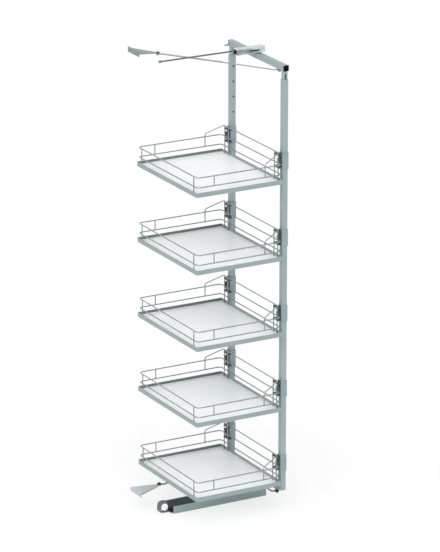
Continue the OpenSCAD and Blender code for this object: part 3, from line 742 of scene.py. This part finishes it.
@dataclass
class TrayTrim:
    """What one tray has besides its five solids: welds, post feet, dark strips of painted shade along the
    rim's inner walls, screws and snap lips.
    """

    tray: int
    wire_radius: float = 2.6
    low_wire: float = 41.5
    mid_wire: float = 85.0
    top_wire: float = 132.0
    post_inset: float = 37.0
    post_gap: float = 31.0
    side_post_inset: float = 86.0
    rim_wall: float = 2.8
    panel_top: float = 7.0
    nugget_radius: float = 3.1
    # Height, wall, bite and end inset of the dark strips of painted shade on the rim's inner walls
    strip_height: tuple[float, float] = (9.0, 18.6)
    strip_wall: float = 1.2
    strip_bite: float = 0.2
    strip_end: float = 6.0
    bead_width: float = 1.6
    bead_rise: float = 0.9
    bead_bite: float = 0.4
    screw_heights: tuple[float, float] = (67.0, 117.0)
    screw_radius: float = 4.6
    screw_height: float = 2.6
    hook_height: float = 10.0
    lip_inside: float = 2.3
    lip_outside: float = 4.2
    lip_reach: tuple[float, float] = (-0.4, 1.8)
    lip_rise: tuple[float, float] = (1.2, 5.8)
    pad_ribs: int = 5
    pad_pitch: float = 4.5
    pad_drop: float = 6.0
    pad_rib_height: float = 1.6
    pad_half_width: float = 4.5
    pad_reach: tuple[float, float] = (-4.2, -3.1)

    def __post_init__(self) -> None:
        """Reads the tray's place from its rim."""
        low, high = extent(f"tray_rim_{self.tray}")
        self.foot = low.z
        self.side, self.front, self.back = high.x, low.y, high.y
        self.wire_in = self.rim_wall + self.wire_radius
        self.end_post = self.side - self.post_inset
        self.inner_post = self.end_post - self.post_gap

    def name(self, piece: str) -> str:
        """A piece's name with the tray's number."""
        return f"{piece}_{self.tray}"

    def build(self) -> None:
        """Makes every piece of the tray's trim."""
        self.wire_welds()
        self.post_feet()
        self.shade_strips()
        self.panel_bead()
        self.clamp_screws()
        self.hook_lips()

    def wire_welds(self) -> None:
        """Resistance welds where the posts cross the wires, a little fatter than the wire."""
        piece = Piece(self.name("wire_welds"), "frame", Palette.WIRE)
        front, back = self.front + self.wire_in, self.back - self.wire_in
        wires = (self.low_wire, self.mid_wire)
        side_wire = self.side - self.wire_in
        for side in (-1, 1):
            for x in (self.end_post, self.inner_post):
                for height in (*wires, self.top_wire):
                    piece.nugget((side * x, front, self.foot + height), self.nugget_radius)
            for height in wires:
                piece.nugget((side * self.end_post, back, self.foot + height), self.nugget_radius)
                for y in (self.front + self.side_post_inset, self.back - self.side_post_inset):
                    piece.nugget((side * side_wire, y, self.foot + height), self.nugget_radius)
        piece.finished()

    def post_feet(self) -> None:
        """Ferrules where the end posts go into the base panel."""
        piece = Piece(self.name("post_feet"), "frame", Palette.WIRE)
        front, back = self.front + self.wire_in, self.back - self.wire_in
        top = self.foot + self.panel_top
        for side in (-1, 1):
            for x, y in ((self.end_post, front), (self.inner_post, front), (self.end_post, back)):
                piece.turned(POST_FOOT, facing((side * x, y, top), Axis.UP), steps=16)
        piece.finished()

    def shade_strips(self) -> None:
        """Dark strips along the rim's inner side walls, between the rim and the base panel: painted shade
        standing in for the shade on those walls.
        """
        piece = Piece(self.name("rim_shade_strips"), "frame", Palette.SHADE_STRIP)
        low, high = (self.foot + height for height in self.strip_height)
        inside = self.side - self.rim_wall
        front, back = self.front + self.strip_end, self.back - self.strip_end
        for side in (-1, 1):
            near, far = sorted((side * (inside - self.strip_wall), side * (inside + self.strip_bite)))
            piece.block((near, front, low), (far, back, high), edge=0.35)
        piece.finished()

    def panel_bead(self) -> None:
        """Thin sealing bead round the base panel where it meets the rim."""
        piece = Piece(self.name("panel_bead"), "frame", Palette.PANEL)
        side, width = self.side - self.rim_wall, self.bead_width
        front, back = self.front + self.rim_wall, self.back - self.rim_wall
        top = self.foot + self.panel_top
        low, high = top - self.bead_bite, top + self.bead_rise
        for sign in (-1, 1):
            near, far = sorted((sign * side, sign * (side - width)))
            piece.block((near, front, low), (far, back, high), edge=0.5)
        for start, end in ((front, front + width), (back - width, back)):
            piece.block((-side + width, start, low), (side - width, end, high), edge=0.5)
        piece.finished()

    def clamp_screws(self) -> None:
        """Socket screws that close each clamp sleeve on its upright, in its inner side."""
        piece = Piece(self.name("clamp_screws"), "frame", Palette.PIVOT)
        low, high = extent(f"tray_clamps_{self.tray}")
        upright_low, upright_high = extent("upright_left")
        across = (high.y - low.y) / 2
        middle_x = -(upright_low.x + upright_high.x) / 2
        middle_y = (low.y + high.y) / 2
        for side in (-1, 1):
            way = Axis.LEFT if side > 0 else Axis.RIGHT
            for height in self.screw_heights:
                at = (side * (middle_x - across), middle_y, self.foot + height)
                piece.socket_screw(self.screw_radius, self.screw_height, facing(at, way))
        piece.finished()

    def hook_lips(self) -> None:
        """Snap lips that close the hooks' arms over the posts, with a ridged thumb pad between them."""
        piece = Piece(self.name("hook_lips"), "frame", Palette.HOOK)
        low, high = extent(f"tray_hooks_{self.tray}")
        post = self.front + self.wire_in
        front, back = (post + reach for reach in self.lip_reach)
        lips = ((-self.lip_outside, -self.lip_inside), (self.lip_inside, self.lip_outside))
        for side in (-1, 1):
            for height in (low.z, high.z - self.hook_height):
                foot, top = (height + rise for rise in self.lip_rise)
                for x in (self.end_post, self.inner_post):
                    middle = side * x
                    for left, right in lips:
                        piece.block((middle + left, front, foot), (middle + right, back, top), edge=0.5)
            self.thumb_pad(piece, side * (self.end_post + self.inner_post) / 2, post)
        piece.finished()

    def thumb_pad(self, piece: Piece, middle: float, post: float) -> None:
        """Adds the ribs between two posts.

        Args:
            piece: the piece that they belong to.
            middle: their middle along X.
            post: where the posts stand along Y.
        """
        front, back = (post + reach for reach in self.pad_reach)
        for rib in range(self.pad_ribs):
            foot = self.foot + self.mid_wire - self.pad_drop + self.pad_pitch * rib
            piece.block(
                (middle - self.pad_half_width, front, foot),
                (middle + self.pad_half_width, back, foot + self.pad_rib_height),
                edge=0.3,
            )


@dataclass
class FrameTrim:
    """Weld seams, foot plugs, hole plugs and washers of the upright frame."""

    seam_radius: float = 1.5
    beam_seam_end: float = 3.0
    tube_seam_end: float = 2.5
    wall: float = 2.0
    plug_inset: float = 0.6
    plug_lip: float = 1.6
    plug_play: float = 0.1
    plug_overlap: float = 0.5
    plug_depth: float = 9.0
    plugged_holes: tuple[float, float] = (1902.25, 1833.75)
    plug_sink: float = 1.9

    def build(self) -> None:
        """Makes every piece."""
        self.beam_welds()
        self.foot_plugs()
        self.hole_plugs()
        self.screw_washers()

    def beam_welds(self) -> None:
        """Seams where the bottom beam meets the uprights and the extensions meet the top beam."""
        piece = Piece("frame_welds", "frame", Palette.SILVER)
        low, high = extent("bottom_beam")
        end = self.beam_seam_end
        for x in (low.x, high.x):
            for y in (low.y, high.y):
                piece.weld_run((x, y, low.z + end), (x, y, high.z - end), self.seam_radius)
        end = self.tube_seam_end
        for node in ("extension_left", "extension_right"):
            low, high = extent(node)
            for x in (low.x, high.x):
                piece.weld_run((x, low.y + end, high.z), (x, high.y - end, high.z), self.seam_radius)
            for y in (low.y, high.y):
                piece.weld_run((low.x + end, y, high.z), (high.x - end, y, high.z), self.seam_radius)
        piece.finished()

    def foot_plugs(self) -> None:
        """Plugs that close the uprights' open feet."""
        piece = Piece("foot_plugs", "frame", Palette.GREY)
        for node in ("upright_left", "upright_right"):
            low, high = extent(node)
            inset = self.plug_inset
            piece.block(
                (low.x + inset, low.y + inset, low.z - self.plug_lip),
                (high.x - inset, high.y - inset, low.z + SEAT),
                edge=0.5,
            )
            inset = self.wall + self.plug_play
            piece.block(
                (low.x + inset, low.y + inset, low.z - self.plug_overlap),
                (high.x - inset, high.y - inset, low.z + self.plug_depth),
                edge=0.6,
            )
        piece.finished()

    def hole_plugs(self) -> None:
        """Black plugs in the two adjusting holes that the telescopic tube stands behind."""
        piece = Piece("hole_plugs", "frame", Palette.BLACK)
        for node, way, sign in (("upright_left", Axis.RIGHT, 1), ("upright_right", Axis.LEFT, -1)):
            low, high = extent(node)
            foot = (high.x if sign > 0 else low.x) - sign * self.plug_sink
            for height in self.plugged_holes:
                piece.turned(HOLE_PLUG, facing((foot, (low.y + high.y) / 2, height), way))
        piece.finished()

    def screw_washers(self) -> None:
        """Washers under the clamp screws of the height adjustment."""
        piece = Piece("height_washers", "frame", Palette.PIVOT)
        low, high = extent("height_screws")
        face = extent("upright_left")[0].y
        for node in ("upright_left", "upright_right"):
            left, right = extent(node)
            middle = (left.x + right.x) / 2
            piece.turned(WASHER, facing((middle, face + SEAT, (low.z + high.z) / 2), Axis.FRONT))
        piece.finished()


@dataclass
class RunnerTrim:
    """Fastenings and small mouldings at the back end of the floor runner."""

    rivet_inset: float = 9.0
    rib_inset: float = 1.5
    rib_half_width: float = 1.2
    rib_bite: float = 0.4
    rib_rise: float = 1.0
    rib_heights: tuple[float, float] = (3.0, 22.0)
    peg_inset: float = 4.5
    peg_drop: float = 27.0
    cap_overhang: float = 0.4

    def build(self) -> None:
        """Makes every piece."""
        self.block_fastenings()
        self.block_peg()
        self.roller_hub()
        self.pin_cap()

    def block_fastenings(self) -> None:
        """Rivets that hold the end block on the runner's tongue, and three ribs up its back."""
        piece = Piece("end_block_rivets", "cabinet_fittings", Palette.PIVOT)
        low, high = extent("runner_end_block")
        for x in (low.x + self.rivet_inset, high.x - self.rivet_inset):
            piece.turned(RIVET, facing((x, high.y - SEAT, low.z + self.rivet_inset), Axis.BACK), steps=16)
        piece.finished()
        ribs = Piece("end_block_ribs", "cabinet_fittings", Palette.GREY)
        foot, top = (low.z + height for height in self.rib_heights)
        front, back = high.y - self.rib_bite, high.y + self.rib_rise
        half = self.rib_half_width
        for x in (low.x + self.rib_inset, (low.x + high.x) / 2, high.x - self.rib_inset):
            ribs.block((x - half, front, foot), (x + half, back, top), edge=0.4)
        ribs.finished()

    def block_peg(self) -> None:
        """Small white stop peg on the end block, beside the roller."""
        piece = Piece("end_block_peg", "cabinet_fittings", Palette.NYLON)
        low, high = extent("runner_end_block")
        at = (low.x + SEAT, high.y - self.peg_inset, high.z - self.peg_drop)
        piece.turned(STOP_PEG, facing(at, Axis.LEFT), steps=20)
        piece.finished()

    def roller_hub(self) -> None:
        """Raised hub ring on the roller's outer face."""
        piece = Piece("roller_hub", "catch_roller", Palette.NYLON)
        low, high = extent("catch_roller")
        at = (low.x + SEAT, (low.y + high.y) / 2, (low.z + high.z) / 2)
        piece.turned(HUB_RING, facing(at, Axis.LEFT), steps=32)
        piece.finished()

    def pin_cap(self) -> None:
        """White cap over the head of the roller's pin."""
        piece = Piece("roller_pin_cap", "cabinet_fittings", Palette.NYLON)
        low, high = extent("roller_pin")
        radius = (high.z - low.z) / 2 + self.cap_overhang
        outline = ((0.0, 1.4), (radius - 1.2, 1.2), (radius - 0.3, 0.7), (radius, 0.0), (0.0, 0.0))
        at = (low.x + SEAT, (low.y + high.y) / 2, (low.z + high.z) / 2)
        piece.turned(outline, facing(at, Axis.LEFT))
        piece.finished()


@dataclass
class ConsoleTrim:
    """Bolts of the pivot console on the slide."""

    bolt_inset: float = 8.0
    base_thickness: float = 5.0
    bolt_across: float = 7.0
    bolt_height: float = 3.6
    washer_height: float = 0.8

    def build(self) -> None:
        """Hexagon bolts with washers in the console's corners."""
        piece = Piece("console_bolts", "carriage", Palette.PIVOT)
        low, high = extent("pivot_console")
        top = low.z + self.base_thickness
        for x in (low.x + self.bolt_inset, high.x - self.bolt_inset):
            for y in (low.y + self.bolt_inset, high.y - self.bolt_inset):
                piece.turned(BOLT_WASHER, facing((x, y, top), Axis.UP), steps=20)
                head = facing((x, y, top + self.washer_height), Axis.UP)
                piece.hexagon(self.bolt_across, self.bolt_height, head)
        piece.finished()


@dataclass
class TopGuideTrim:
    """Small parts of the telescopic guide under the cabinet's top."""

    nut_across: float = 11.0
    nut_height: float = 4.6
    washer_height: float = 0.7
    lip_half_width: float = 0.9
    lip_end: float = 0.3
    lip_heights: tuple[float, float] = (0.1, 1.9)

    def build(self) -> None:
        """Makes every piece."""
        self.rod_nut()
        self.rail_lips()

    def rod_nut(self) -> None:
        """Nut and washer that hold the guide rod in the swivel block."""
        piece = Piece("guide_rod_nut", "carriage", Palette.PIVOT)
        rod_low, rod_high = extent("guide_rod")
        block_low = extent("swivel_block")[0]
        height = (rod_low.z + rod_high.z) / 2
        piece.turned(WASHER, facing((0.0, block_low.y + SEAT, height), Axis.FRONT))
        nut = facing((0.0, block_low.y - self.washer_height, height), Axis.FRONT)
        piece.hexagon(self.nut_across, self.nut_height, nut)
        piece.finished()

    def rail_lips(self) -> None:
        """Rolled lips along the guide rail's two lower edges."""
        piece = Piece("guide_rail_lips", "cabinet_fittings", Palette.GUIDE)
        low, high = extent("guide_rail")
        front, back = low.y + self.lip_end, high.y - self.lip_end
        foot, top = (low.z + height for height in self.lip_heights)
        half = self.lip_half_width
        for x in (low.x + half, high.x - half):
            piece.block((x - half, front, foot), (x + half, back, top), edge=0.6)
        piece.finished()


@dataclass
class LinkTrim:
    """Nuts under the links' eyes and the ferrule between the upper link's tube and rod."""

    tube_share: float = 0.52
    tube_radius: float = 3.5
    ferrule_length: float = 14.0
    ferrule_wall: float = 0.7
    wall_pivot: tuple[float, float] = (110.0, 220.5)
    frame_pivot: tuple[float, float] = (-185.0, -205.5)
    nut_across: float = 10.0
    nut_height: float = 3.4

    def build(self) -> None:
        """Makes every piece."""
        self.eye_nuts()
        self.ferrule()

    def eye_nuts(self) -> None:
        """Nuts under the collars of both links, at the frame end."""
        for body, node in (("top_link", "top_link_rod"), ("bottom_link", "bottom_link_rod")):
            piece = Piece(f"{body}_nut", body, Palette.PIVOT)
            foot = extent(node)[0].z
            nut = facing((*self.frame_pivot, foot + SEAT), Axis.DOWN)
            piece.hexagon(self.nut_across, self.nut_height, nut)
            piece.finished()

    def ferrule(self) -> None:
        """Pressed sleeve where the thin rod goes into the tube."""
        piece = Piece("top_link_ferrule", "top_link", Palette.LINK)
        wall = Vector((*self.wall_pivot, 0.0))
        run = Vector((*self.frame_pivot, 0.0)) - wall
        tube_low, tube_high = extent("top_link_tube")
        rod_low = extent("top_link_rod")[0]
        middle = wall + run * self.tube_share
        middle.z = tube_low.z + self.tube_radius
        along = Vector((run.x, run.y, rod_low.z - tube_high.z)).normalized()
        radius, half = self.tube_radius + self.ferrule_wall, self.ferrule_length / 2
        outline = (
            (0.0, -half),
            (radius - 0.5, -half),
            (radius, -half + 0.6),
            (radius, half - 3.0),
            (radius - 1.4, half),
            (0.0, half),
        )
        piece.turned(outline, facing(middle, along))
        piece.finished()


# ------------------------------------------------------------------ studio


@dataclass(frozen=True)
class Lamp:
    """A lamp so far off that its light is the same on every tray."""

    name: str
    way: tuple[float, float, float]
    spread_deg: float
    strength: float

    def build(self) -> None:
        """Hangs the lamp, whose light comes from where its way points, as from a wide soft box."""
        data = bpy.data.lights.new(self.name, "SUN")
        data.angle = math.radians(self.spread_deg)
        data.energy = self.strength
        lamp = bpy.data.objects.new(self.name, data)
        lamp.rotation_euler = Vector(self.way).to_track_quat("Z", "Y").to_euler()
        bpy.context.scene.collection.objects.link(lamp)


@dataclass
class Studio:
    """A pale floor, soft lamps and the camera at the photograph's place."""

    photo_height_px: float = 552.0
    focal_px: float = 4220.33
    sensor_mm: float = 36.0
    camera_at: tuple[float, float, float] = (-15.136, 8.372, 6.736)
    azimuth_deg: float = 240.99
    elevation_deg: float = 18.22
    roll_deg: float = 0.091
    sight: float = 100.0
    floor_size: float = 14.0
    floor_drop: float = 0.0005
    floor_glow: float = 0.7
    room_light: float = 0.66
    lamps: tuple[Lamp, ...] = (
        Lamp("key_lamp", (-0.65, 0.3, 0.95), 60.0, 1.22),
        Lamp("fill_lamp", (-0.15, 1.0, 0.6), 60.0, 0.6),
        Lamp("low_lamp", (-1.0, 0.3, 0.15), 50.0, 0.4),
    )

    def build(self) -> None:
        """Sets up the view, the floor, the lamps and the camera."""
        scene = bpy.context.scene
        scene.view_settings.view_transform = "Standard"
        self.world(scene)
        self.floor()
        for lamp in self.lamps:
            lamp.build()
        self.camera(scene)
        LOG.info("studio ready")

    def seen(self, tree: Tree) -> Socket:
        """Tells what the camera sees from what only gives light.

        Args:
            tree: the node tree.

        Returns:
            A socket that is 1 where the camera looks straight, by reflection or through glass, else 0.
        """
        path = add_node(tree, "ShaderNodeLightPath").outputs
        seen = path["Is Camera Ray"]
        for ray in ("Is Glossy Ray", "Is Transmission Ray"):
            either = add_node(tree, "ShaderNodeMath", links={0: seen, 1: path[ray]}, operation="MAXIMUM")
            seen = either.outputs["Value"]
        return seen

    def world(self, scene: bpy.types.Scene) -> None:
        """Soft white light from all round, seen as plain white by the camera.

        Args:
            scene: the scene that it lights.
        """
        world = bpy.data.worlds.new("studio_world")
        world.use_nodes = True
        tree = world.node_tree
        tree.nodes.clear()
        seen = self.seen(tree)
        strength = add_node(
            tree, "ShaderNodeMapRange", {"To Min": self.room_light, "To Max": 1.0}, {"Value": seen}
        )
        glow = add_node(
            tree,
            "ShaderNodeBackground",
            {"Color": (1.0, 1.0, 1.0, 1.0)},
            {"Strength": strength.outputs["Result"]},
        )
        add_node(tree, "ShaderNodeOutputWorld", links={"Surface": glow.outputs["Background"]})
        scene.world = world

    def floor(self) -> None:
        """A wide floor, white to the camera, that keeps a faint shadow."""
        mesh = bpy.data.meshes.new("studio_floor")
        shape = bmesh.new()
        bmesh.ops.create_grid(shape, x_segments=1, y_segments=1, size=self.floor_size)
        bmesh.ops.translate(shape, verts=shape.verts, vec=(0, 0, -self.floor_drop))
        shape.to_mesh(mesh)
        shape.free()
        floor = bpy.data.objects.new("studio_floor", mesh)
        bpy.context.scene.collection.objects.link(floor)
        material = bpy.data.materials.new("studio_floor_paint")
        material.use_nodes = True
        tree = material.node_tree
        tree.nodes.clear()
        paint = add_node(tree, "ShaderNodeBsdfDiffuse", {"Color": srgb("FBFBFB")})
        white = add_node(tree, "ShaderNodeEmission", {"Color": (1.0, 1.0, 1.0, 1.0), "Strength": 1.0})
        share = add_node(
            tree, "ShaderNodeMath", {1: self.floor_glow}, {0: self.seen(tree)}, operation="MULTIPLY"
        )
        mix = add_node(
            tree,
            "ShaderNodeMixShader",
            links={0: share.outputs["Value"], 1: paint.outputs["BSDF"], 2: white.outputs["Emission"]},
        )
        add_node(tree, "ShaderNodeOutputMaterial", links={"Surface": mix.outputs["Shader"]})
        mesh.materials.append(material)

    def camera(self, scene: bpy.types.Scene) -> None:
        """The camera looks along the line that was fitted to the photograph's edges.

        Args:
            scene: the scene that it looks at.
        """
        azimuth, elevation = math.radians(self.azimuth_deg), math.radians(self.elevation_deg)
        level = math.cos(elevation)
        back = Vector((math.sin(azimuth) * level, -math.cos(azimuth) * level, math.sin(elevation)))
        data = bpy.data.cameras.new("camera")
        data.sensor_width = self.sensor_mm
        data.lens = self.focal_px / self.photo_height_px * self.sensor_mm
        data.clip_end = self.sight
        camera = bpy.data.objects.new("camera", data)
        turn = back.to_track_quat("Z", "Y").to_matrix().to_4x4()
        roll = Matrix.Rotation(math.radians(self.roll_deg), 4, "Z")
        camera.matrix_world = Matrix.Translation(self.camera_at) @ turn @ roll
        scene.collection.objects.link(camera)
        scene.camera = camera


def main() -> None:
    """Builds the sub-assemblies in order, then the studio."""
    logging.basicConfig(level=logging.INFO, format="%(name)s: %(message)s")
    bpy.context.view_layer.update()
    CarriedNodes().build()
    for tray in TRAYS:
        TrayTrim(tray).build()
    for trim in (FrameTrim(), RunnerTrim(), ConsoleTrim(), TopGuideTrim(), LinkTrim()):
        trim.build()
    Studio().build()


if __name__ == "__main__":
    main()
